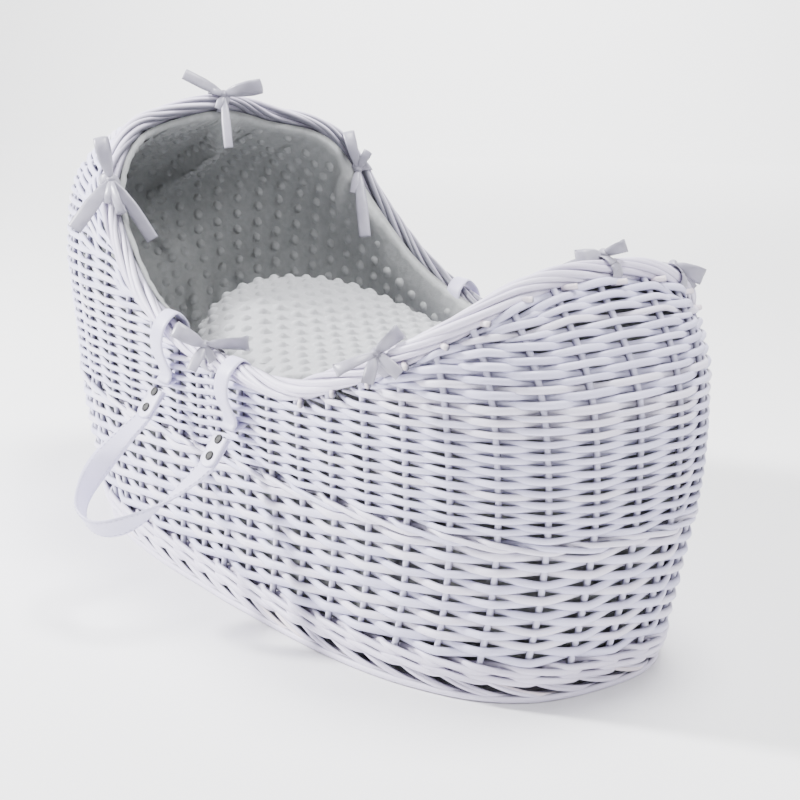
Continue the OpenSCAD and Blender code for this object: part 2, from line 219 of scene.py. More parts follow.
def wall(t, z):
    t, z = np.broadcast_arrays(np.asarray(t, float), np.asarray(z, float))
    c, s = np.cos(np.radians(t)), np.abs(np.sin(np.radians(t)))
    k, w = np.minimum(z / 370, 1.15), (1 - c) / 2
    ef = FOOT_ROUND[0] + (FOOT_ROUND[1] - FOOT_ROUND[0]) * k
    eh = HEAD_ROUND[0] + (HEAD_ROUND[1] - HEAD_ROUND[0]) * k
    a = np.abs(c) + 1e-12
    foot_x, head_x = smooth(FOOT_Z, FOOT_X, np.minimum(z, 360)) * a**ef, -smooth(HEAD_Z, HEAD_X, z) * a**eh
    x = np.where(c > 0, foot_x, head_x)
    y = smooth(SIDE_Z, SIDE_Y, z) * (s + 1e-12) ** (ef + (eh - ef) * w) * np.sign(t)
    return np.stack([BASE_X + x, y, z], -1)


def unit(v):
    return v / np.maximum(np.linalg.norm(v, axis=-1, keepdims=True), 1e-12)


def way_along(line):
    """How far along the line each of its points lies."""
    return np.concatenate([[0], np.cumsum(np.linalg.norm(np.diff(line, axis=0), axis=1))])


def outward(t, z):
    return unit(np.cross(wall(wrap(t + 1), z) - wall(wrap(t - 1), z), wall(t, z + 2) - wall(t, z - 2)))


def off_wall(t, z, d):
    t, z = np.broadcast_arrays(np.asarray(t, float), np.asarray(z, float))
    return wall(t, z) + np.asarray(d, float)[..., None] * outward(t, z)


def lean(t, z):
    return np.linalg.norm(wall(t, z) - wall(t, z - 2), axis=-1) / 2


def below_rim(t, d):
    """Height at a distance down the wall from the rim."""
    return rim_height(t) - d * 1.12 / lean(t, rim_height(t) - 3)


# %% Where the stakes stand
STAKES = 44
fine_t = np.linspace(-180, 180, 1441)
run = way_along(wall(fine_t, 0.0))


def stake_angle(u):
    """Angle of a place round the basket, counted in stakes from the head."""
    return np.interp((np.asarray(u, float) % STAKES) / STAKES * run[-1], run, fine_t)


def round_angles(cols, shift=0.0):
    """Angles of cols places, evenly spaced round the basket."""
    return stake_angle((np.arange(cols) + shift) * STAKES / cols)


def stake_place(t):
    return np.interp(t, fine_t, run) / run[-1] * STAKES


print("round the base:", round(run[-1]), "mm, a stake every", round(run[-1] / STAKES, 1), "mm")

# %% [markdown]
# ## Willow rods
# A rod is a tube that follows a line of points. Building the tubes with formulas is the right way
# here: there are hundreds of metres of rod, and each has to pass in front of one stake and behind
# the next. Each rod keeps two things for its material: a tone of its own, and a grain place that
# runs along it, so that the streaks follow the rod round the basket.


# %% A bundle of rods that becomes one mesh
def quads(n, m, closed_n, turned=False):
    """Faces of a grid of n by m points, numbered row by row, that closes on itself along m."""
    i, j = np.meshgrid(np.arange(n if closed_n else n - 1), np.arange(m), indexing="ij")
    i2, j2 = (i + 1) % n, (j + 1) % m
    corners = [i * m + j, i * m + j2, i2 * m + j2, i2 * m + j]
    if turned:
        corners = [corners[0], corners[3], corners[2], corners[1]]
    return np.stack(corners, -1).reshape(-1, 4)


def mesh_piece(name, verts, faces, material):
    """A smooth piece from vertices in millimetres."""
    mesh = bpy.data.meshes.new(name)
    mesh.from_pydata((np.asarray(verts) * 0.001).tolist(), [], faces)
    mesh.polygons.foreach_set("use_smooth", [True] * len(mesh.polygons))
    mesh.materials.append(material)
    print(name, len(mesh.polygons), "faces")
    return linked(name, mesh)


class Rods:
    def __init__(self):
        self.points, self.faces, self.grain, self.tone, self.count = [], [], [], [], 0

    def add(self, line, out, across, along=None, sides=8, closed=False, tone=None):
        """A rod along line; across and along are its half sizes, towards out and at right angles to it."""
        along = across if along is None else along
        n = len(line)
        across, along = np.broadcast_to(across, n)[:, None, None], np.broadcast_to(along, n)[:, None, None]
        if closed:
            run_dir = unit(np.roll(line, -1, 0) - np.roll(line, 1, 0))
        else:
            run_dir = unit(np.gradient(line, axis=0))
        beside = unit(np.cross(run_dir, out))
        up = np.cross(beside, run_dir)
        a = math.pi + 2 * math.pi * np.arange(sides) / sides
        ring = line[:, None] + across * np.cos(a)[None, :, None] * up[:, None] \
            + along * np.sin(a)[None, :, None] * beside[:, None]
        self.points.append(ring.reshape(-1, 3))
        self.faces += (quads(n, sides, closed) + self.count).tolist()
        if not closed:
            self.faces.append([self.count + k for k in range(sides - 1, -1, -1)])
            self.faces.append([self.count + (n - 1) * sides + k for k in range(sides)])
        length = way_along(line) / 1000
        grain = np.zeros((n, sides, 3))
        grain[..., 0] = length[:, None] + rng.uniform(0, 50)
        grain[..., 1], grain[..., 2] = np.cos(a)[None] * 0.003, np.sin(a)[None] * 0.003
        self.grain.append(grain.reshape(-1, 3))
        self.tone.append(np.full(n * sides, rng.uniform(0, 1) if tone is None else tone))
        self.count += n * sides

    def build(self, name, material):
        piece = mesh_piece(name, np.concatenate(self.points), self.faces, material)
        for key, kind, field, values in (("grain", "FLOAT_VECTOR", "vector", self.grain),
                                         ("tone", "FLOAT", "value", self.tone)):
            values = np.concatenate(values).astype(np.float32).ravel()
            piece.data.attributes.new(key, kind, "POINT").data.foreach_set(field, values)
        return piece


# %% [markdown]
# ## Painted willow
# The paint is thin and satin: it lets the rod's long streaks and small knots show, it is a little
# warmer and pinker where it is thin, and it is cooler in the weave. The sides of each rod that face
# the liner, and its edges, are painted darker as painted shade between the rods. The noise is stretched
# along the grain attribute, so the streaks bend with each rod.


# %% Willow materials
def painted_willow(name, pale, shade, warm, inner_side_shade=(0.17, 0.165, 0.21)):
    material, nodes, links, shader = new_material(name, {"Coat Weight": 0.15, "Coat Roughness": 0.35})
    grain = add_node(nodes, "ShaderNodeAttribute", attribute_name="grain")
    tone = add_node(nodes, "ShaderNodeAttribute", attribute_name="tone")
    stretch = add_node(nodes, "ShaderNodeMapping", Scale=(18.0, 420.0, 420.0))
    links.new(grain.outputs["Vector"], stretch.inputs["Vector"])
    streaks = add_node(nodes, "ShaderNodeTexNoise", Scale=1.0, Detail=3.0, Roughness=0.6)
    links.new(stretch.outputs["Vector"], streaks.inputs["Vector"])
    knots = add_node(nodes, "ShaderNodeTexNoise", Scale=34.0, Detail=2.0)
    links.new(grain.outputs["Vector"], knots.inputs["Vector"])
    mixed = add_node(nodes, "ShaderNodeMath", operation="MULTIPLY_ADD")
    links.new(streaks.outputs["Fac"], mixed.inputs[0])
    mixed.inputs[1].default_value = 0.45
    links.new(tone.outputs["Fac"], mixed.inputs[2])
    paint = [(0.1, shade), (0.7, pale), (1.0, pale), (1.35, warm)]
    colour = ramp(nodes, links, mixed.outputs["Value"], paint)
    # Painted shade: the sides of each rod that face the liner, and its edges, turn to the dark colour,
    # standing in for the shade between rods.
    round_rod = nodes.new("ShaderNodeSeparateXYZ")
    links.new(grain.outputs["Vector"], round_rod.inputs["Vector"])
    unshaded_side = add_node(nodes, "ShaderNodeMapRange", interpolation_type="SMOOTHSTEP")
    links.new(round_rod.outputs["Y"], unshaded_side.inputs["Value"])
    unshaded_side.inputs["From Min"].default_value, unshaded_side.inputs["From Max"].default_value = -0.0018, 0.0022
    paint_or_shade = add_node(nodes, "ShaderNodeMix", data_type="RGBA")
    links.new(unshaded_side.outputs["Result"], paint_or_shade.inputs["Factor"])
    paint_or_shade.inputs[6].default_value = (*inner_side_shade, 1)
    links.new(colour, paint_or_shade.inputs[7])
    links.new(paint_or_shade.outputs[2], shader.inputs["Base Color"])
    rough = add_node(nodes, "ShaderNodeMapRange")
    links.new(knots.outputs["Fac"], rough.inputs["Value"])
    rough.inputs["To Min"].default_value, rough.inputs["To Max"].default_value = 0.38, 0.6
    links.new(rough.outputs["Result"], shader.inputs["Roughness"])
    bump(nodes, links, shader, [(streaks.outputs["Fac"], 0.25, 0.0008), (knots.outputs["Fac"], 0.3, 0.0012)])
    return material


weave_paint = painted_willow("willow_weave_paint", (0.73, 0.71, 0.93), (0.60, 0.58, 0.80), (0.80, 0.76, 0.91))
rod_paint = painted_willow("willow_rod_paint", (0.79, 0.74, 0.91), (0.64, 0.59, 0.76), (0.88, 0.79, 0.86))
stake_paint = painted_willow("willow_stake_paint", (0.72, 0.70, 0.90), (0.59, 0.57, 0.76), (0.79, 0.75, 0.88))


# %% [markdown]
# ## Weaving a row
# In plain weave a rod goes in front of one stake and behind the next, and the row above does the
# opposite. Willow is stiff, so the wave is nearly a zigzag with its corners at the stakes. The rod's
# height wanders a little, because no two rods are the same thickness.


# %% Rows of plain weave
STEPS = 9


def wander(u, size):
    """A smooth random wander along a row, size millimetres at most, the same after a full turn."""
    knots = rng.uniform(-size, size, STAKES)
    return np.interp(u % STAKES, np.arange(STAKES + 1), np.append(knots, knots[0]))


def weave_line(u, z, phase, thick):
    zigzag = 2 * np.abs((u + phase) % 2 - 1) - 1
    wave = 0.4 * np.cos(math.pi * (u + phase)) + 0.6 * zigzag
    z = z + 0.16 * thick * np.sin(math.pi * (u + phase))
    d = MIDDLE + (0.9 * STAKE_R + thick * 0.75) * wave
    t = stake_angle(u)
    return off_wall(t, z, d), outward(t, z)


def weave_row(rods, u, z, phase, across, along, closed=False):
    """One row from the places u at heights z; its ends dive behind the stakes."""
    thick = across * (1 + wander(u, 0.1))
    line, out = weave_line(u, z, phase, across)
    if not closed:
        dive = np.minimum(np.arange(len(u)), np.arange(len(u))[::-1]) / STEPS
        line = line - out * (5.0 * np.clip(1 - dive, 0, 1) ** 2)[:, None]
        thick = thick * np.clip(0.45 + dive, 0.45, 1)
    rods.add(line, out, thick, thick * (along / across), closed=closed)


def spans(keep, least=6):
    """The stretches where keep holds."""
    marks = np.flatnonzero(np.diff(np.concatenate([[0], keep.astype(int), [0]])))
    return [(a, b) for a, b in zip(marks[::2], marks[1::2]) if b - a >= least]


around = stake_place(-82.0) + np.arange(STAKES * STEPS) / STEPS


def level_band(rods, low, high, pitch, across, along):
    rows = int(round((high - low) / pitch))
    for row in range(rows):
        z = low + (row + 0.5) * (high - low) / rows + wander(around, pitch * 0.12)
        keep = z < below_rim(stake_angle(around), 8)
        if keep.all():
            weave_row(rods, around, z, row, across, along, closed=True)
            continue
        for a, b in spans(keep):
            weave_row(rods, around[a:b], z[a:b], row, across, along)


# %% [markdown]
# ## Packing the two ends
# The foot end and the hood stand higher than the sides, so the weaver packs them: extra rows that
# turn back round a stake, each pair a little longer or shorter than the last. The rows fan out from
# where the rim is lowest. Each pair of rows has a turn in which it stops, spread so that neighbours
# stop apart; a pair that is stopping gives its room to the others, so the weave stays as close.


# %% Rows that fan out
def heights_between(t, low, high, shares):
    """Heights that part the wall between low and high into shares of its length up the stake."""
    low = np.broadcast_to(low, high.shape)
    z = low[:, None] + (high - low)[:, None] * np.linspace(0, 1, 60)
    way = np.linalg.norm(np.diff(wall(t[:, None], z), axis=1), axis=-1)
    way = np.concatenate([np.zeros((len(t), 1)), np.cumsum(way, 1)], 1)
    shares = np.broadcast_to(shares, (len(t), np.shape(shares)[-1]))
    got = np.array([np.interp(s * w[-1], w, zz) for s, w, zz in zip(shares, way, z)])
    return got, way[:, -1]


def stopping_turns(count, mixing):
    """The turn of each of count pairs: from the bottom up, mixed by a number's bits read backwards."""
    backwards = np.array([int(format(k, "06b")[::-1], 2) for k in range(count)])
    turns = np.empty(count)
    turns[np.argsort(np.arange(count) + mixing * count * backwards / 64)] = np.arange(count)
    return turns


def fan_band(rods, u, low, pitch, across, along, mixing):
    t = stake_angle(u)
    high = np.maximum(below_rim(t, 8), low)
    _, room = heights_between(t, low, high, np.array([0.5]))
    pairs = int(round(room.max() / pitch / 2))
    share = np.clip(((room / pitch / 2)[:, None] - stopping_turns(pairs, mixing) + 1.2) / 3.0, 0, 1)
    share = np.repeat(share, 2, axis=1)
    total = np.maximum(share.sum(1, keepdims=True), 1e-6)
    middles = (np.cumsum(share, 1) - share / 2) / total
    z, _ = heights_between(t, low, high, middles)
    for row in range(2 * pairs):
        for a, b in spans((share[:, row] > 0.12) & (high > low + 2), STEPS * 2):
            fat = np.clip(0.45 + 0.65 * share[a:b, row], 0, 1) * (1 + rng.uniform(-0.08, 0.08))
            weave_row(rods, u[a:b], z[a:b, row] + wander(u[a:b], pitch * 0.08), row + 1,
                      across * fat, along * fat)


# %% Weave the wall
LOWER_BAND = {"low": 34.5, "high": 129.0, "pitch": 6.7, "across": 2.6, "along": 3.65}
UPPER_BAND = {"low": 139.5, "high": 237.0, "pitch": 4.65, "across": 2.05, "along": 2.75}
FOOT_FAN = {"low": 237.0, "pitch": 5.6, "across": 2.5, "along": 3.2, "mixing": 0.6}
HOOD_FAN = {"low": 238.5, "pitch": 5.4, "across": 2.4, "along": 3.1, "mixing": 1.0}
lower_rods, upper_rods, foot_rods, hood_rods = Rods(), Rods(), Rods(), Rods()
level_band(lower_rods, **LOWER_BAND)
level_band(upper_rods, **UPPER_BAND)
foot_u = stake_place(-84.0) + np.arange(int((stake_place(84.0) - stake_place(-84.0)) * STEPS)) / STEPS
fan_band(foot_rods, foot_u, **FOOT_FAN)
hood_u = stake_place(92.0) + np.arange(int((STAKES + stake_place(-92.0) - stake_place(92.0)) * STEPS)) / STEPS
fan_band(hood_rods, hood_u, **HOOD_FAN)
lower_weave = lower_rods.build("lower_willow_weave", weave_paint)
upper_weave = upper_rods.build("upper_willow_weave", weave_paint)
foot_packing = foot_rods.build("foot_end_packing", weave_paint)
hood_packing = hood_rods.build("hood_packing_rods", weave_paint)

# %% [markdown]
# ## Stakes, wales and the foot border
# The stakes run from the base up into the rim. A wale is a row of three rods that each pass in front
# of two stakes and behind one, so it looks like a rope: one finishes the base, one holds the waist.
# Below the base wale each stake's end bends over the next ones and forms the open arches.


# %% Stakes
stake_rods = Rods()
for i in range(STAKES):
    t = float(stake_angle(i))
    top = float(below_rim(np.array(t), 2))
    z = 18 + (top - 18) * np.sin(np.linspace(0, math.pi / 2, 36))
    sway = np.interp(np.linspace(0, 1, 36), np.linspace(0, 1, 7), rng.uniform(-0.25, 0.25, 7))
    line = off_wall(t + sway * 0.4, z, MIDDLE)
    stake_rods.add(line, outward(np.full(36, t), z), STAKE_R, tone=rng.uniform(0.2, 0.8))
side_stakes = stake_rods.build("upright_stakes", stake_paint)


# %% Wales
WALE_ROD, WAIST_ROD = 2.9, 2.3


def wale(rods, height, thick, step):
    u = np.arange(0, STAKES + 0.01, 1 / 8)
    t = stake_angle(u)
    for rod in range(3):
        part = (u - rod) / 3 % 1
        d = MIDDLE + (STAKE_R + thick * 0.75) * np.clip(-1.7 * np.cos(2 * math.pi * part) + 0.45, -1, 1)
        z = height + step * np.sin(2 * math.pi * part) * 0.9 + wander(u, 0.3)
        rods.add(off_wall(t, z, d), outward(t, z), thick * 0.95, thick * 1.05)


base_wale_rods, waist_rods = Rods(), Rods()
wale(base_wale_rods, 21.5, WALE_ROD, 2.4)
wale(base_wale_rods, 29.0, WALE_ROD, 2.4)
wale(waist_rods, 134.3, WAIST_ROD, 2.6)
base_wale = base_wale_rods.build("base_wale_rods", rod_paint)
waist_wale = waist_rods.build("waist_wale_rods", weave_paint)


# %% Foot border
hoop_rods, arch_rods = Rods(), Rods()
u = np.arange(0, STAKES, 0.2)
t = stake_angle(u)
for level_z, d, thick in ((3.4, -1.5, 3.0), (4.2, -7.5, 3.0)):
    line = off_wall(t, np.full(len(u), 4.0), d + wander(u, 0.5))
    line[:, 2] = level_z + wander(u, 0.25)
    hoop_rods.add(line, outward(t, 4.0), thick, closed=True)
for i in range(STAKES):
    s = np.linspace(0, 1, 22)
    for start, swing in ((0.0, 2.6), (0.16, 1.4)):
        u = i + start + s * 1.75 + rng.uniform(-0.05, 0.05)
        z = 4.2 + 17.0 * (1 - s) ** 1.5
        d = -3.0 + swing * np.sin(math.pi * s) - 5.0 * np.clip(s - 0.7, 0, 1)
        t = stake_angle(u)
        taper = 1.05 - 0.35 * s
        arch_rods.add(off_wall(t, z, d), outward(t, z), 2.3 * taper, 2.4 * taper)
foot_hoop = hoop_rods.build("foot_hoop_rods", rod_paint)
foot_border = arch_rods.build("foot_border_arches", rod_paint)


# %% Base weave
FLOOR_ROWS, FLOOR_PITCH, FLOOR_Z, FLOOR_WAVE = 18, 7.2, 15.5, 3.2
floor_rods = Rods()
for row in range(FLOOR_ROWS):
    shrink = FLOOR_PITCH * row
    t = wrap(np.linspace(-180, 180, 240, endpoint=False))
    edge = off_wall(t, np.full(240, 12.0), -17.0)
    x = (edge[:, 0] - BASE_X) * (1 - shrink / 305)
    y = edge[:, 1] * (1 - shrink / 131)
    z = FLOOR_Z + FLOOR_WAVE * np.sin(math.pi * row + 28 * np.radians(t))
    line, up = np.stack([BASE_X + x, y, z], -1), np.tile([0.0, 0.0, 1.0], (240, 1))
    floor_rods.add(line, up, 2.6, 3.4, 6, closed=True)
base_weave = floor_rods.build("base_floor_weave", weave_paint)

# %% [markdown]
# ## The rolled rim
# The stakes' tops are laid down along the rim and rolled into a bundle of long rods, a little twisted
# and wider than it is thick. Cut ends of the packing rods peep out under it at the foot end. They are
# bare, paler wood.

# %% Rim
RIM_HALF_T, RIM_HALF_W, TWIST = 8.5, 9.5, 220.0
rim_t = np.linspace(-180, 180, 900, endpoint=False)
rim_mid = off_wall(rim_t, rim_height(rim_t), MIDDLE)
step = np.linalg.norm(np.roll(rim_mid, -1, 0) - rim_mid, axis=1)
way = np.concatenate([[0], np.cumsum(step)[:-1]])
places = np.linspace(0, step.sum(), 420, endpoint=False)
rim_line = np.stack([np.interp(places, np.append(way, step.sum()), np.append(rim_mid[:, k], rim_mid[0, k]))
                     for k in range(3)], -1)
for _ in range(6):
    rim_line = (np.roll(rim_line, 1, 0) + 2 * rim_line + np.roll(rim_line, -1, 0)) / 4
rim_angle = np.interp(places, way, rim_t)
rim_out = outward(rim_angle, rim_height(rim_angle))
rim_run = unit(np.roll(rim_line, -1, 0) - np.roll(rim_line, 1, 0))
rim_side = unit(np.cross(rim_run, rim_out))
rim_out = np.cross(rim_side, rim_run)
turns = round(step.sum() / TWIST)
rim_rods = Rods()
STRANDS, STRAND_R, STUB_R = 7, 2.95, 2.5
for strand in range(STRANDS):
    w = rng.uniform(-0.42, 0.42, 22)
    wobble = np.interp(places, np.linspace(0, step.sum(), 23), np.append(w, w[0]))
    a = 2 * math.pi * (strand / STRANDS + turns * places / step.sum()) + wobble
    thick = STRAND_R * (1 + 0.16 * np.sin(2 * math.pi * (2 * places / step.sum() + strand / 3)))
    line = rim_line + ((RIM_HALF_T - 2.9) * np.cos(a))[:, None] * rim_out \
        + ((RIM_HALF_W - 3.1) * np.sin(a))[:, None] * rim_side
    rim_rods.add(line, rim_out, thick, closed=True)
# The core rod gets the darkest paint tone, as painted shade where it shows between the twisted strands.
rim_rods.add(rim_line, rim_out, 4.6, 5.2, closed=True, tone=0.1)
for i in range(STAKES):
    t = float(stake_angle(i + 0.35))
    if abs(t) > 78:
        continue
    z = float(below_rim(np.array(t), 11 + rng.uniform(-2, 2)))
    u = i + 0.35 + np.array([-0.16, -0.1, -0.03, 0.02])
    d = np.array([-3.0, 0.5, 3.4, 5.2])
    tt = stake_angle(u)
    line = off_wall(tt, z + np.array([2.0, 1.0, 0, -0.5]), d)
    rim_rods.add(line, outward(tt, np.full(4, z)), STUB_R, tone=1.3)
rim_border = rim_rods.build("rolled_rim_rods", rod_paint)
print("rim length", round(step.sum()), "mm,", turns, "twists")

# %% [markdown]
# ## Dimple fleece
# The liner and the coverlet are the soft plush with raised dots that babies like to touch. The dots
# are real bumps in the mesh: one small dome is shaped once and set down on a staggered lattice. The
# pile itself is far finer than a mesh can hold, so it lives in the material as sheen and fine bump.


# %% Fleece, satin and leatherette
def dimple_fleece(name, deep, light, sheen):
    material, nodes, links, shader = new_material(name, {
        "Roughness": 0.85, "Specular IOR Level": 0.2, "Sheen Weight": sheen, "Sheen Roughness": 0.35})
    pile, clumps, brushed = (
        on_object(nodes, links, "ShaderNodeTexNoise", **inputs)
        for inputs in ({"Scale": 900.0, "Detail": 4.0, "Roughness": 0.7}, {"Scale": 160.0, "Detail": 3.0},
                       {"Scale": 14.0, "Detail": 2.0}))
    both = add_node(nodes, "ShaderNodeMix", data_type="FLOAT", Factor=0.45)
    links.new(clumps.outputs["Fac"], both.inputs[2])
    links.new(brushed.outputs["Fac"], both.inputs[3])
    links.new(ramp(nodes, links, both.outputs[0], [(0.3, deep), (0.7, light)]), shader.inputs["Base Color"])
    bump(nodes, links, shader, [(clumps.outputs["Fac"], 0.35, 0.002), (pile.outputs["Fac"], 0.5, 0.0008)])
    return material


def satin(name, colour, painted_shade_tone):
    material, nodes, links, shader = new_material(name, {"Roughness": 0.34, "Sheen Weight": 0.25})
    weave = on_object(nodes, links, "ShaderNodeTexNoise", Scale=1200.0, Detail=1.0)
    folds = on_object(nodes, links, "ShaderNodeTexNoise", Scale=60.0, Detail=2.0)
    # Painted shade: the darker tone follows the hollows of the fold bump, standing in for shade in the folds.
    dye_and_fold_shade = ramp(nodes, links, folds.outputs["Fac"], [(0.3, painted_shade_tone), (0.7, colour)])
    links.new(dye_and_fold_shade, shader.inputs["Base Color"])
    bump(nodes, links, shader, [(folds.outputs["Fac"], 0.25, 0.002), (weave.outputs["Fac"], 0.25, 0.0003)])
    return material


def leatherette_skin():
    material, nodes, links, shader = new_material("leatherette_skin", {"Roughness": 0.42})
    pebble = on_object(nodes, links, "ShaderNodeTexVoronoi", Scale=900.0)
    tint = on_object(nodes, links, "ShaderNodeTexNoise", Scale=25.0, Detail=3.0)
    lilac = ramp(nodes, links, tint.outputs["Fac"], [(0.3, (0.60, 0.575, 0.78)), (0.7, (0.67, 0.64, 0.83))])
    links.new(lilac, shader.inputs["Base Color"])
    grains = [(tint.outputs["Fac"], 0.2, 0.002), (pebble.outputs["Distance"], 0.25, 0.0003)]
    bump(nodes, links, shader, grains)
    return material


liner_fleece = dimple_fleece("liner_dimple_fleece", (0.34, 0.35, 0.355), (0.46, 0.47, 0.475), 0.35)
quilt_fleece = dimple_fleece("quilt_dimple_fleece", (0.36, 0.365, 0.385), (0.445, 0.45, 0.47), 0.3)
ribbon_satin = satin("ribbon_satin", (0.37, 0.355, 0.43), (0.28, 0.27, 0.34))
binding_satin = satin("binding_satin", (0.70, 0.69, 0.82), (0.62, 0.61, 0.75))
strap_skin = leatherette_skin()


# %% Dots on a surface
def spread_out(places, normals, least):
    """Drops every place that is nearer than least to one already kept."""
    kept = []
    for i, p in enumerate(places):
        if not kept or np.min(np.sum((places[kept] - p) ** 2, axis=1)) > least * least:
            kept.append(i)
    return places[kept], normals[kept]


def dots(places, normals, sides=8):
    """Domes at the places, as one list of vertices and one of faces. They flare into the cloth."""
    reach = np.array([0.0, 2.6, 4.3, 5.4, 6.5])
    height = np.array([3.4, 2.8, 1.3, 0.15, -0.6])
    verts, faces = [], []
    for p, n in zip(places, normals):
        x = unit(np.cross(n, [0.3, 0.9, 0.2]))
        y = np.cross(n, x)
        size = rng.uniform(0.92, 1.08)
        start = len(verts)
        verts.append(p + n * height[0] * size)
        for r, h in zip(reach[1:], height[1:]):
            for k in range(sides):
                a = 2 * math.pi * k / sides
                verts.append(p + size * (r * (math.cos(a) * x + math.sin(a) * y)) + n * h * size)
        for k in range(sides):
            k2 = (k + 1) % sides
            faces.append([start, start + 1 + k, start + 1 + k2])
            for ring in range(3):
                a, b = start + 1 + ring * sides, start + 1 + (ring + 1) * sides
                faces.append([a + k, b + k, b + k2, a + k2])
    return np.array(verts), faces


# %% [markdown]
# ## The padded liner
# The liner hangs from its ties, so it sags away from the hood in soft folds. It is a closed shell:
# an inner face with folds and dots, an outer face against the wall, and a rolled top edge. The folds
# are ridges along short lines, placed as they would fall.

# %% Liner
FOLDS = [((-392, 24, 283), (-363, 47, 323), 10, 15), ((-363, 47, 323), (-286, 47, 366), 11, 20),
         ((-286, 47, 366), (-215, 12, 395), 12, 16), ((-394, 21, 268), (-370, 48, 226), 9, 14),
         ((-382, 10, 215), (-300, 96, 214), 9, 12), ((-350, 58, 205), (-345, 58, 150), 8, 10),
         ((-330, 80, 205), (-322, 84, 150), 9, 8), ((-160, 129, 345), (-176, 132, 300), 8, 8),
         ((-150, 131, 340), (-120, 141, 280), 7, 7), ((-300, -95, 300), (-220, -125, 330), 10, 9),
         ((-380, -30, 240), (-300, -95, 220), 9, 9), ((-100, -143, 240), (-180, -133, 300), 8, 6)]


def fold_push(p):
    """How far the folds push the cloth in, for points p."""
    push = np.zeros(p.shape[:-1])
    for a, b, wide, deep in FOLDS:
        a, b = np.array(a, float), np.array(b, float)
        k = np.clip(((p - a) @ (b - a)) / np.sum((b - a) ** 2), 0, 1)
        near = np.linalg.norm(p - (a + k[..., None] * (b - a)), axis=-1)
        push += 1.15 * deep * np.exp(-(near / wide) ** 2) * (0.4 + 0.6 * np.sin(math.pi * k))
    return push


def liner_point(t, z, share):
    """The liner's inner face; share is how far up the wall, for the padding's swell."""
    soft = 2.0 * np.sin(t * 0.21 + 2 * np.sin(z / 47)) * np.sin(z / 31 + t * 0.05)
    p = off_wall(t, z, LINER_IN + 1.5)
    roll = 4 * np.exp(-((share - 0.9) / 0.1) ** 2) * np.clip((np.abs(t) - 92) / 12, 0, 1)
    gathers = 1.1 * np.sin(t * 2.3 + 3 * np.sin(t * 0.31)) * np.exp(-((share - 0.95) / 0.07) ** 2)
    push = fold_push(p) + 1.2 + soft * np.sin(math.pi * np.clip(share, 0, 1)) + roll + gathers
    return p - outward(t, z) * push[..., None]


def make_liner():
    cols, rows = 330, 56
    t = round_angles(cols)
    shares = np.linspace(0, 1, rows)
    z, room = heights_between(t, np.full(cols, 24.0), below_rim(t, 1), shares)
    inner = liner_point(t[:, None], z, shares[None] * np.ones((cols, 1)))
    lip = off_wall(t, below_rim(t, -2), -12.0)
    behind = off_wall(t[:, None], z[:, ::-5], -13.2)
    grid = np.concatenate([inner, lip[:, None], behind], 1)
    count = grid.shape[1]
    lines = 112
    t = round_angles(lines, 0.5)
    low, high = np.full(lines, 60.0), below_rim(t, 9)
    _, room = heights_between(t, low, high, np.array([0.5]))
    angles, heights, ups = [], [], []
    for k in range(lines):
        n = int(room[k] / 18.0)
        shares = (np.arange(n) + (0.5 if k % 2 else 0.0) + 0.25) * 18.0 / room[k]
        got, _ = heights_between(t[k:k + 1], low[k:k + 1], high[k:k + 1], shares[shares < 0.99])
        angles += [t[k]] * got.shape[1]
        heights += got[0].tolist()
        ups += shares[shares < 0.99].tolist()
    angles, heights, ups = np.array(angles), np.array(heights), 0.1 + 0.9 * np.array(ups)
    p = liner_point(angles, heights, ups)
    q = liner_point(wrap(angles + 0.4), heights, ups)
    r = liner_point(angles, heights + 1.5, ups + 0.004)
    normals = -unit(np.cross(q - p, r - p))
    p, normals = spread_out(p, normals, 13.5)
    dome_points, dome_faces = dots(p, normals)
    verts = np.concatenate([grid.reshape(-1, 3), dome_points])
    faces = quads(cols, count, True).tolist() + [[k + cols * count for k in f] for f in dome_faces]
    print(len(p), "dots on the liner")
    return mesh_piece("dimple_fleece_liner", verts, faces, liner_fleece)


liner = make_liner()


# %% [markdown]
# ## Mattress, coverlet and binding
# The coverlet is a plump quilt that fills the basket from side to side, with its crown towards the
# head. It starts as a formula that keeps clear of the wall, Blender's cloth puffs it up, and the dots
# are set on the puffed surface afterwards, because remeshing would wipe them away.


# %% Mattress
def edit_caps(piece):
    """Goes into edit mode with the active piece's top and bottom selected."""
    bpy.ops.object.mode_set(mode="EDIT")
    bpy.ops.mesh.select_all(action="DESELECT")
    bpy.ops.object.mode_set(mode="OBJECT")
    for face in piece.data.polygons:
        face.select = abs(face.normal.z) > 0.9
    bpy.ops.object.mode_set(mode="EDIT")


def join(pieces):
    """Joins the pieces into the first."""
    bpy.ops.object.select_all(action="DESELECT")
    for piece in pieces:
        piece.select_set(True)
    bpy.context.view_layer.objects.active = pieces[0]
    bpy.ops.object.join()


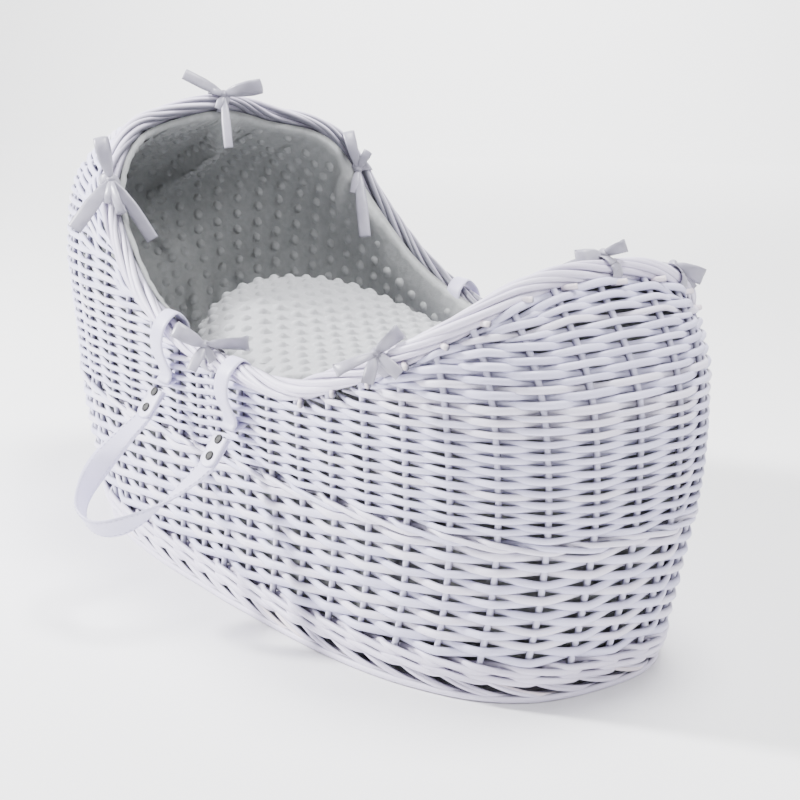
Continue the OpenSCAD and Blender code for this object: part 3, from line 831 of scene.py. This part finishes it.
def make_mattress():
    low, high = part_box("mattress")
    middle = (Vector(low) + Vector(high)) / 2
    size = Vector(high) - Vector(low)
    bpy.ops.mesh.primitive_cylinder_add(vertices=72, radius=0.5, depth=size.z, location=middle)
    piece = bpy.context.object
    piece.name = "quilted_mattress"
    for v in piece.data.vertices:
        a = math.atan2(v.co.y, v.co.x)
        v.co.x = size.x / 2 * math.copysign(abs(math.cos(a)) ** 0.7, math.cos(a))
        v.co.y = size.y / 2 * math.copysign(abs(math.sin(a)) ** 0.7, math.sin(a))
    bpy.ops.object.transform_apply(location=True, rotation=True, scale=True)
    edit_caps(piece)
    for depth in (0.006, 0.02, 0.025):
        bpy.ops.mesh.inset(thickness=depth)
    bpy.ops.object.mode_set(mode="OBJECT")
    bevel = piece.modifiers.new("soft_edge", "BEVEL")
    bevel.width, bevel.segments, bevel.limit_method = 0.009, 4, "ANGLE"
    bpy.ops.object.modifier_apply(modifier="soft_edge")
    bpy.ops.object.shade_smooth()
    bpy.ops.object.select_all(action="DESELECT")
    material, nodes, links, shader = new_material("mattress_cotton", {"Roughness": 0.85})
    quilting = on_object(nodes, links, "ShaderNodeTexVoronoi", Scale=28.0)
    cotton = on_object(nodes, links, "ShaderNodeTexNoise", Scale=700.0)
    cover = ramp(nodes, links, cotton.outputs["Fac"], [(0.3, (0.72, 0.73, 0.76)), (0.7, (0.79, 0.80, 0.82))])
    links.new(cover, shader.inputs["Base Color"])
    seams = [(quilting.outputs["Distance"], 0.6, 0.006), (cotton.outputs["Fac"], 0.3, 0.0005)]
    bump(nodes, links, shader, seams)
    piece.data.materials.append(material)
    return piece


mattress = make_mattress()

# %% Coverlet shape
BAND_Z, HEAD_IN, CROWN, CREST_X, BACK_Z = 184.0, 0.41, 251.0, -92.0, 213.0


def head_in(p, k=HEAD_IN):
    """Draws the head half of an outline in towards the middle."""
    x = p[..., 0] - BASE_X
    return np.stack([BASE_X + np.where(x < 0, x * k, x), p[..., 1], p[..., 2]], -1)


def coverlet_rings(cols):
    t = round_angles(cols)
    rings = [head_in(off_wall(t, np.full(cols, z), LINER_IN - 4.0)) for z in np.linspace(60, BAND_Z, 12)]
    edge = head_in(off_wall(t, np.full(cols, BAND_Z), LINER_IN - 5.0))
    for k in np.sin(np.linspace(1.5, 0.01, 30)):
        x, y = CREST_X + (edge[:, 0] - CREST_X) * k, edge[:, 1] * k
        ridge = BACK_Z + (CROWN - BACK_Z) * np.exp(-(np.maximum(x - CREST_X, 0) / 98) ** 2)
        z = BAND_Z + 8 + (ridge - BAND_Z - 8) * math.sqrt(max(0, 1 - k**2.8))
        rings.append(np.stack([x, y, z], -1))
    return np.array(rings)


def ring_faces(rings, cols):
    """Faces of a stack of rings, closed at both ends."""
    faces = quads(rings, cols, False).tolist()
    return faces + [[(rings - 1) * cols + c for c in range(cols)], list(range(cols - 1, -1, -1))]


def puff(piece, voxel, pressure, frames, cap):
    """Blender's cloth swells the piece like a filled cover; no point moves further than cap."""
    bpy.context.view_layer.objects.active = piece
    piece.select_set(True)
    piece.data.remesh_voxel_size = voxel
    bpy.ops.object.voxel_remesh()
    start = np.array([v.co for v in piece.data.vertices])
    held = piece.vertex_groups.new(name="held")
    held.add([i for i, p in enumerate(start) if p[2] < 0.075], 1.0, "REPLACE")
    cloth = piece.modifiers.new("puffed", "CLOTH")
    cloth.settings.quality = 4
    cloth.settings.mass = 0.3
    cloth.settings.use_pressure = True
    cloth.settings.uniform_pressure_force = pressure
    cloth.settings.vertex_group_mass = "held"
    cloth.settings.effector_weights.gravity = 0
    cloth.collision_settings.use_collision = False
    for number in range(1, frames + 1):
        bpy.context.scene.frame_set(number)
    shaped = piece.evaluated_get(bpy.context.evaluated_depsgraph_get())
    moved = np.array([v.co for v in shaped.data.vertices])
    piece.modifiers.remove(cloth)
    bpy.context.scene.frame_set(1)
    shift = moved - start
    far = np.linalg.norm(shift, axis=1, keepdims=True)
    shift *= np.minimum(1, cap / np.maximum(far, 1e-9))
    piece.data.vertices.foreach_set("co", (start + shift).ravel())
    piece.data.update()
    piece.select_set(False)
    print("puffed", piece.name, "by", round(float(far.max()) * 1000, 1), "mm at most")


def make_coverlet():
    cols = 150
    rings = coverlet_rings(cols)
    piece = mesh_piece("puffy_coverlet", rings.reshape(-1, 3), ring_faces(len(rings), cols), quilt_fleece)
    puff(piece, 0.006, 2.0, 14, 0.006)
    surface = BVHTree.FromObject(piece, bpy.context.evaluated_depsgraph_get())
    places, normals = [], []
    for k, x in enumerate(np.arange(-130, 370, 15.8)):
        hits = []
        for y in np.arange(-150, 150, 1.5):
            found = surface.ray_cast(Vector((x / 1000, y / 1000, 0.4)), Vector((0, 0, -1)))
            if found[0] is not None and found[0].z > 0.11:
                hits.append((np.array(found[0]) * 1000, np.array(found[1])))
        if len(hits) < 6:
            continue
        points = np.array([h[0] for h in hits])
        way = way_along(points)
        middle = np.interp(0, points[:, 1], way)
        for s in np.arange(middle % 18.2 + (9.1 if k % 2 else 0) - 18.2, way[-1] - 3, 18.2):
            if s < 3:
                continue
            i = int(np.argmin(np.abs(way - s)))
            places.append(points[i])
            normals.append(hits[i][1])
    edge_t = stake_angle(np.arange(0, STAKES, 0.4))
    for k, z in enumerate(np.arange(206, 120, -13.0)):
        for t in edge_t[k % 2::2]:
            p = head_in(off_wall(t, min(z, BAND_Z), LINER_IN - 4.0)) / 1000
            p[2] = z / 1000
            if p[0] < 0:
                found = surface.find_nearest(Vector(p))
                places.append(np.array(found[0]) * 1000)
                normals.append(np.array(found[1]))
    places, normals = spread_out(np.array(places), np.array(normals), 13.0)
    dome_points, dome_faces = dots(places, normals)
    bumps = mesh_piece("coverlet_dots", dome_points, dome_faces, quilt_fleece)
    smoother = piece.modifiers.new("soft", "SMOOTH")
    smoother.iterations = 3
    bpy.context.view_layer.objects.active = piece
    bpy.ops.object.modifier_apply(modifier="soft")
    join([piece, bumps])
    bpy.ops.object.shade_smooth()
    bpy.ops.object.select_all(action="DESELECT")
    print(len(places), "dots on the coverlet")
    return piece


coverlet = make_coverlet()


# %% Binding
def make_binding():
    cols = 240
    t = round_angles(cols)
    mid = head_in(off_wall(t, np.full(cols, BAND_Z + 6), LINER_IN - 8.0))
    out = outward(t, np.full(cols, BAND_Z))
    pucker = np.sin(np.arange(cols) * 1.9) * 0.5
    roll = []
    for a in np.linspace(0, 2 * math.pi, 14, endpoint=False):
        roll.append(mid + out * (4.2 * math.cos(a) + pucker)[:, None] + np.array([0, 0, 8.0 * math.sin(a)]))
    grid = np.stack(roll, 1)
    faces = quads(cols, grid.shape[1], True, turned=True).tolist()
    return mesh_piece("coverlet_binding", grid.reshape(-1, 3), faces, binding_satin)


binding = make_binding()

# %% [markdown]
# ## Strips: straps and ribbons
# Both are flat strips that bend and twist through the air. A strip follows a line of points, with a
# direction for its width at each one. Rounded edges catch the light as folded leatherette does, and
# a curl across the width keeps the satin from looking like card.


# %% A strip
def along_across_out(line, across):
    """The strip's three directions at each point of its line."""
    run_dir = unit(np.gradient(line, axis=0))
    across = unit(across - np.sum(across * run_dir, -1, keepdims=True) * run_dir)
    return run_dir, across, np.cross(run_dir, across)


def strip(line, across, width, thick, curl=0.0, cols=6):
    """Vertices and faces of a closed flat strip along line, width towards across."""
    _, across, face = along_across_out(line, across)
    width = np.broadcast_to(width, len(line))
    k = np.linspace(-1, 1, cols + 1)
    edge = np.sqrt(np.clip(1 - np.abs(k) ** 6, 0, 1)) * 0.75 + 0.25
    top = [(a, e * thick / 2 + curl * (1 - a * a)) for a, e in zip(k, edge)]
    under = [(a, -e * thick / 2 + curl * (1 - a * a)) for a, e in zip(k[::-1], edge[::-1])]
    section = top + under
    rings = np.array([[p + w / 2 * a * s + h * f for a, h in section]
                      for p, w, s, f in zip(line, width, across, face)])
    n, m = rings.shape[:2]
    ends = [list(range(m)), [(n - 1) * m + j for j in range(m - 1, -1, -1)]]
    return rings.reshape(-1, 3), quads(n, m, False, turned=True).tolist() + ends


def gather(parts):
    """Joins lists of (vertices, faces) into one."""
    verts, faces, count = [], [], 0
    for v, f in parts:
        verts.append(np.asarray(v, float))
        faces += [[k + count for k in face] for face in f]
        count += len(v)
    return np.concatenate(verts), faces


def spline(points, count, closed=False):
    """An even, smooth line through the given points."""
    p = np.asarray(points, float)
    ends = (p[-2:], p[:3]) if closed else ([2 * p[0] - p[1]], [2 * p[-1] - p[-2]])
    p = np.concatenate([ends[0], p, ends[1]])
    out = []
    first, last = (2, len(p) - 3) if closed else (1, len(p) - 2)
    for i in range(first, last):
        s = np.linspace(0, 1, 16, endpoint=False)[:, None]
        a, b, c, d = p[i - 1], p[i], p[i + 1], p[i + 2]
        bend, twist = 2 * a - 5 * b + 4 * c - d, 3 * b - a - 3 * c + d
        out.append(0.5 * (2 * b + (c - a) * s + bend * s**2 + twist * s**3))
    out = np.concatenate(out + [p[last][None]])
    way = way_along(out)
    places = np.linspace(0, way[-1], count)
    return np.stack([np.interp(places, way, out[:, k]) for k in range(out.shape[1])], -1)


# %% [markdown]
# ## Carrying handles
# Each end of the strap turns over the rim and comes back out through the weave, where it is pinched
# and riveted. Between its ends the strap hangs as a hand loop, and turns on edge as a flat strap does
# when it bends round. The near handle is modelled, and the far one is its mirror image.

# %% Handle lines
STRAP_W, STRAP_T = 21.0, 2.6
PINCH_HEAD, PINCH_FOOT = np.array([BASE_X - 67, -172, 186.0]), np.array([BASE_X + 42, -172, 169.0])
SWING = unit(PINCH_FOOT - PINCH_HEAD)
TAB_SLOPE, TAB_START, TAB_L, GRIP_DROP, GRIP_REACH = 56, 6.5, 33.0, 35, 103.0
RIM_LOOP = [(0, 0), (-3, 6), (-2, 13), (2, 22), (5.5, 32), (6, 42), (3, 53), (-3, 61),
            (-9.5, 65), (-15, 62), (-20, 55), (-22, 44), (-22, 30), (-21, 16), (-16, 7), (-8, 2)]


def slope_dir(degrees):
    return np.array([0, -math.cos(math.radians(degrees)), -math.sin(math.radians(degrees))])


def rim_loop(pinch, stretch):
    path = spline([(out, up * stretch) for out, up in RIM_LOOP], 90, closed=True)
    line = np.stack([np.full(90, pinch[0]), pinch[1] - path[:, 0], pinch[2] + 1.5 + path[:, 1]], -1)
    return strip(line, np.tile([-1.0, 0, 0], (90, 1)), STRAP_W, STRAP_T, cols=8)


def grip_line():
    """The strap's middle line from pinch to pinch, and the direction of its width."""
    k = np.linspace(0, 1, 97)
    s = (k - 0.5) * math.pi
    half = np.linalg.norm(PINCH_FOOT - PINCH_HEAD) / 2
    side_way = half * np.sign(np.sin(s)) * np.abs(np.sin(s)) ** 0.9
    reach = GRIP_REACH * np.cos(s) ** 0.85
    grip = (PINCH_HEAD + PINCH_FOOT) / 2 + side_way[:, None] * SWING \
        + TAB_L * slope_dir(TAB_SLOPE) + reach[:, None] * slope_dir(GRIP_DROP)
    flat_k = np.minimum(1, np.minimum(k, 1 - k) * 3.2)
    tall = unit(np.cross(SWING, slope_dir(GRIP_DROP)))
    sign = np.where(k < 0.5, 1.0, -1.0)
    across = unit((1 - flat_k)[:, None] * sign[:, None] * SWING + flat_k[:, None] * tall)
    tab = np.linspace(TAB_START, TAB_L - 1, 12)[:, None] * slope_dir(TAB_SLOPE)
    line = np.concatenate([PINCH_HEAD + tab, grip, (PINCH_FOOT + tab)[::-1]])
    across = np.concatenate([np.tile(SWING, (12, 1)), across, np.tile(-SWING, (12, 1))])
    for _ in range(10):
        line[1:-1] = (line[:-2] + 2 * line[1:-1] + line[2:]) / 4
        across[1:-1] = (across[:-2] + 2 * across[1:-1] + across[2:]) / 4
    return line, unit(across)


def stitches(line, across, inset, every=4.6):
    """Short raised threads along both edges and on both faces."""
    run_dir, across, face = along_across_out(line, across)
    way = way_along(line)
    parts = []
    for s in np.arange(8, way[-1] - 8, every):
        at = [np.interp(s, way, line[:, k]) for k in range(3)]
        i = int(np.argmin(np.abs(way - s)))
        for edge in (-1, 1):
            for front in (-1, 1):
                p = np.array(at) + across[i] * edge * (STRAP_W / 2 - inset) + face[i] * front * STRAP_T / 2
                thread = p + run_dir[i] * np.linspace(-1.5, 1.5, 4)[:, None] \
                    + face[i] * front * np.array([-0.25, 0.22, 0.22, -0.25])[:, None]
                parts.append(strip(thread, np.tile(across[i], (4, 1)), 0.8, 0.5, cols=2))
    return gather(parts)


# %% Straps
def flip(part):
    """The mirror image across the basket's length, with its faces still outwards."""
    verts, faces = part
    return verts * np.array([1, -1, 1]), [face[::-1] for face in faces]


def top_layer(pinch):
    """The strap's end, laid over the tab and rounded where it stops."""
    s = np.linspace(TAB_START, TAB_L + 2, 26)
    width = STRAP_W * np.sqrt(np.clip(1 - np.clip((s - TAB_L + 5) / 7.2, 0, 0.96) ** 2, 0.05, 1))
    normal = unit(np.cross(SWING, slope_dir(TAB_SLOPE))) * -1
    line = pinch + s[:, None] * slope_dir(TAB_SLOPE) + normal * (STRAP_T * 0.98)
    return strip(line, np.tile(SWING, (26, 1)), width, STRAP_T * 0.9, cols=8)


line, across = grip_line()
strap_parts = gather([strip(line, across, STRAP_W, STRAP_T, cols=8),
                      top_layer(PINCH_HEAD), top_layer(PINCH_FOOT)])
stitch_parts = stitches(line[10:-10], across[10:-10], 2.4)
handle_pieces = {}
for name, turn in (("near", lambda part: part), ("far", flip)):
    handle_pieces[name] = [mesh_piece(f"{name}_hand_strap", *turn(strap_parts), strap_skin),
                           mesh_piece(f"{name}_strap_stitches", *turn(stitch_parts), strap_skin)]
    for end, pinch, stretch in (("head", PINCH_HEAD, 0.96), ("foot", PINCH_FOOT, 0.91)):
        mesh_piece(f"{name}_rim_loop_{end}", *turn(rim_loop(pinch, stretch)), strap_skin)
print("strap length", round(way_along(line)[-1]), "mm")


# %% Rivets
def rivet_painted_shade():
    material, nodes, links, shader = new_material("rivet_nickel", {
        "Metallic": 0.2, "Specular IOR Level": 0.2, "Roughness": 0.55})
    wear_and_shade = on_object(nodes, links, "ShaderNodeTexNoise", Scale=300.0, Detail=3.0)
    # Painted shade: the rivets are coloured near black all over, standing in for the shade inside the eyelet
    # holes; the noise adds slight wear.
    painted_shade_tone = ramp(nodes, links, wear_and_shade.outputs["Fac"], [(0.3, (0.02, 0.02, 0.02)), (0.7, (0.06, 0.06, 0.06))])
    links.new(painted_shade_tone, shader.inputs["Base Color"])
    bump(nodes, links, shader, [(wear_and_shade.outputs["Fac"], 0.1, 0.0003)])
    return material


def make_rivets(name, mirror, material):
    normal = unit(np.cross(SWING, slope_dir(TAB_SLOPE))) * -1
    turn = Vector(normal).to_track_quat("Z", "Y").to_matrix().to_4x4()
    made = []
    for pinch in (PINCH_HEAD, PINCH_FOOT):
        for s in (9.5, 25):
            for front in (1, -1):
                lift = STRAP_T * (0.55 + front * 0.95)
                at = (pinch + s * slope_dir(TAB_SLOPE) + normal * lift) / 1000
                bpy.ops.mesh.primitive_torus_add(major_radius=0.0031, minor_radius=0.0012, major_segments=28,
                                                 minor_segments=10)
                made.append(bpy.context.object)
                bpy.ops.mesh.primitive_cylinder_add(vertices=28, radius=0.0029, depth=0.0014)
                cup = bpy.context.object
                edit_caps(cup)
                bpy.ops.mesh.inset(thickness=0.0011)
                bpy.ops.mesh.extrude_region_shrink_fatten(TRANSFORM_OT_shrink_fatten={"value": -0.0006})
                bpy.ops.object.mode_set(mode="OBJECT")
                made.append(cup)
                for piece in made[-2:]:
                    piece.data.transform(Matrix.Translation(Vector(at)) @ turn)
                    piece.matrix_world = Matrix.Identity(4)
    join(made)
    rivets = bpy.context.object
    rivets.name = name
    if mirror:
        rivets.data.transform(Matrix.Diagonal((1, -1, 1, 1)))
        rivets.data.flip_normals()
    rivets.data.materials.clear()
    rivets.data.materials.append(material)
    bpy.ops.object.shade_smooth_by_angle(angle=math.radians(40))
    bpy.ops.object.select_all(action="DESELECT")
    return rivets


rivet_shade_metal = rivet_painted_shade()
near_rivets = make_rivets("near_shade_dark_rivets", False, rivet_shade_metal)
far_rivets = make_rivets("far_shade_dark_rivets", True, rivet_shade_metal)

# %% [markdown]
# ## Satin bows
# A bow is one ribbon: a turn round the rim, a knot, lobes and tails. Each is drawn as it falls for
# someone who looks from the camera's side: an angle (0 to the right, 90 up), a length, a tilt that
# turns the ribbon's width towards the viewer, and a lean towards them. No two bows fall alike.


# %% A bow
def rim_frame(t):
    height = rim_height(np.array(t))
    p = off_wall(t, height, MIDDLE)
    a, b = wrap(t + 2), wrap(t - 2)
    x = -unit(wall(a, rim_height(a)) - wall(b, rim_height(b)))
    o = outward(np.array(t), height)
    y = unit(o - np.sum(o * x) * x)
    return p, x, y, np.cross(x, y)


VIEW = np.array([side, camera.matrix_world.to_3x3().col[1], back])


def ribbon(points, widths, across, curl=0.8, count=34):
    """A strip of ribbon through points given right, up and towards the viewer."""
    line = spline(points, count)
    s = np.linspace(0, 1, count)
    return strip(line, np.tile(np.array(across, float), (count, 1)),
                 np.interp(s, np.linspace(0, 1, len(widths)), widths), 0.5, curl, cols=5)


def lies(angle, tilt, lean):
    """The directions of a loose end's length and width."""
    a = math.radians(angle)
    return np.array([math.cos(a), math.sin(a), lean]), np.array([-math.sin(a), math.cos(a), tilt])


def lobe(angle, length, tilt=0.3, lean=0.0, wide=13.0):
    way, up = lies(angle, tilt, lean)
    front = np.array([0, 0, length * 0.2])
    path = ((0, 0), (0.3, 0.9), (0.7, 1.1), (1.0, 0.3), (0.95, -0.5), (0.6, -0.9), (0.25, -0.5), (0, 0))
    points = [way * length * k + front * d for k, d in path]
    return ribbon(points, [4, wide * 0.8, wide, wide * 1.05, wide, wide * 0.7, 4], up)


def tail(angle, length, tilt=0.2, lean=0.0, droop=0.0, wide=12.0):
    way, up = lies(angle, tilt, lean)
    points = [way * length * k + np.array([0, -droop * k * k, 2.0 * math.sin(3 * k)])
              for k in (0, 0.25, 0.5, 0.75, 1)]
    return ribbon(points, [4, wide * 0.8, wide, wide, wide * 0.98], up)


def knot(size):
    """A small pinched pillow with creases."""
    rows, cols = 9, 16
    b = math.pi * np.arange(rows)[:, None] / (rows - 1)
    a = 2 * math.pi * np.arange(cols) / cols
    wide = size * (1 + 0.14 * np.cos(4 * a)) * np.sin(b)
    verts = np.stack([size * np.cos(b) + 0 * a, wide * np.cos(a), wide * np.sin(a)], -1)
    return verts.reshape(-1, 3), quads(rows, cols, False).tolist()


def bow(name, t, at, parts):
    """at is the knot's place in the rim's directions: along it, outwards and up."""
    p, x, y, z = rim_frame(t)
    a = np.linspace(0, 2 * math.pi, 37)
    turn = np.stack([2 * np.sin(a * 2), (RIM_HALF_T + 1.2) * np.cos(a), (RIM_HALF_W + 1.2) * np.sin(a)], -1)
    round_rim, round_faces = strip(turn, np.tile([1.0, 0.15, 0], (37, 1)), 11.0, 0.6, 0.3, cols=4)
    centre = p + np.array(at) @ np.stack([x, y, z])
    placed = [(p + round_rim @ np.stack([x, y, z]), round_faces)]
    placed += [(centre + v @ VIEW, f) for v, f in [knot(4.2), *parts]]
    piece = mesh_piece(f"satin_bow_{name}", *gather(placed), ribbon_satin)
    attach(piece, "basket")
    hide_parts(f"tie_{name}")


# %% Nine bows
bow("hood_top", 180, (0, 5, 10), [
    tail(155, 42, 0.3, 0.2), lobe(12, 38, 0.3, 0.2), tail(-83, 56, 0.1, 0.35, wide=9),
    tail(-110, 16, 0.2, 0.3, wide=8), lobe(165, 14, 0.4, 0.2, wide=8)])
bow("hood_near", -120, (0, 3, 11), [
    lobe(103, 38, 0.2, 0.15), tail(-123, 58, 0.2, 0.25, wide=15), lobe(-70, 34, 0.5, 0.3, wide=9),
    tail(-50, 62, 0.1, 0.1, droop=8), lobe(-95, 22, 0.5, 0.3, wide=8)])
bow("hood_far", 120, (0, -9, 7), [
    lobe(105, 38, 0.3, 0.1, wide=12), tail(-84, 72, 0.1, 0.35), lobe(60, 20, 0.4, 0.2, wide=9),
    tail(-100, 26, 0.2, 0.3, wide=9)])
bow("side_near", -90, (0, 6, 13), [
    lobe(152, 27, 0.3, 0.3, wide=14), lobe(4, 36, 0.9, 0.1, wide=13),
    tail(-115, 24, 0.4, 0.5, wide=10), tail(-60, 16, 0.4, 0.5, wide=9)])
bow("side_far", 90, (0, -9, 7), [
    lobe(160, 20, 0.6, 0.3), lobe(-20, 22, 0.6, 0.3), tail(-60, 24, 0.3, 0.3), tail(-120, 20, 0.3, 0.3)])
bow("waist_near", -57.5, (0, 9, 8), [
    lobe(205, 32, 0.7, 0.2, wide=10), lobe(42, 24, 0.6, 0.2, wide=12),
    tail(-42, 24, 0.3, 0.5, wide=10), tail(-105, 24, 0.3, 0.5, wide=10)])
bow("waist_far", 57.5, (0, -9, 8), [
    lobe(170, 22, 0.5, 0.3), lobe(20, 22, 0.5, 0.3), tail(60, 16, 0.3, 0.3), tail(-100, 26, 0.2, 0.3)])
bow("foot_near", 1, (0, 3, 12), [
    lobe(192, 21, 0.3, 0.3, wide=13), lobe(22, 17, 0.6, 0.3, wide=10), tail(-62, 16, 0.4, 0.5, wide=8),
    tail(196, 44, 0.2, -0.5, droop=6, wide=8)])
bow("foot_far", 22, (0, 4, 11), [
    lobe(-20, 24, 0.5, 0.0), lobe(195, 20, 0.4, -0.4), tail(-50, 24, 0.3, -0.4), tail(-110, 26, 0.3, -0.4)])

# %% [markdown]
# ## Who rides on what
# Everything is fixed to the basket except the two hand loops with their rivets, which swing. Every
# plain CAD solid is replaced by the piece that shows it; the base sticks keep their CAD shape.

# %% Ride and replace
for piece, nodes, slot_name in (
        (lower_weave, ["lower_weave"], "willow_weave"), (upper_weave, ["upper_weave"], "willow_weave"),
        (foot_packing, ["foot_packing"], "willow_weave"), (hood_packing, ["hood_packing"], "willow_weave"),
        (side_stakes, ["side_stakes"], "willow_stakes"), (base_wale, ["base_wale"], "willow_rods"),
        (waist_wale, ["waist_wale"], "willow_rods"), (foot_hoop, ["foot_hoop"], "willow_rods"),
        (foot_border, ["foot_border"], "willow_rods"), (base_weave, ["base_weave"], "willow_weave"),
        (rim_border, ["rim_border"], "willow_rods"), (liner, ["liner"], "liner_fleece"),
        (mattress, ["mattress"], "mattress_cover"), (coverlet, ["coverlet"], "coverlet_fleece"),
        (binding, ["sheet_band"], "satin_binding")):
    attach(piece, "basket")
    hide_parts(*nodes)
for name in ("near", "far"):
    strap, threads = handle_pieces[name]
    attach(strap, f"{name}_handle")
    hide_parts(f"{name}_grip")
    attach(threads, f"{name}_handle")
    for end in ("head", "foot"):
        loop = bpy.data.objects[f"{name}_rim_loop_{end}"]
        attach(loop, "basket")
        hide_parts(f"{name}_loop_{end}")
for piece, name in ((near_rivets, "near"), (far_rivets, "far")):
    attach(piece, f"{name}_handle")
    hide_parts(f"{name}_rivets")

# %% Base sticks keep their CAD shape
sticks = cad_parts["base_sticks"]
sticks.data.materials.clear()
sticks.data.materials.append(stake_paint)
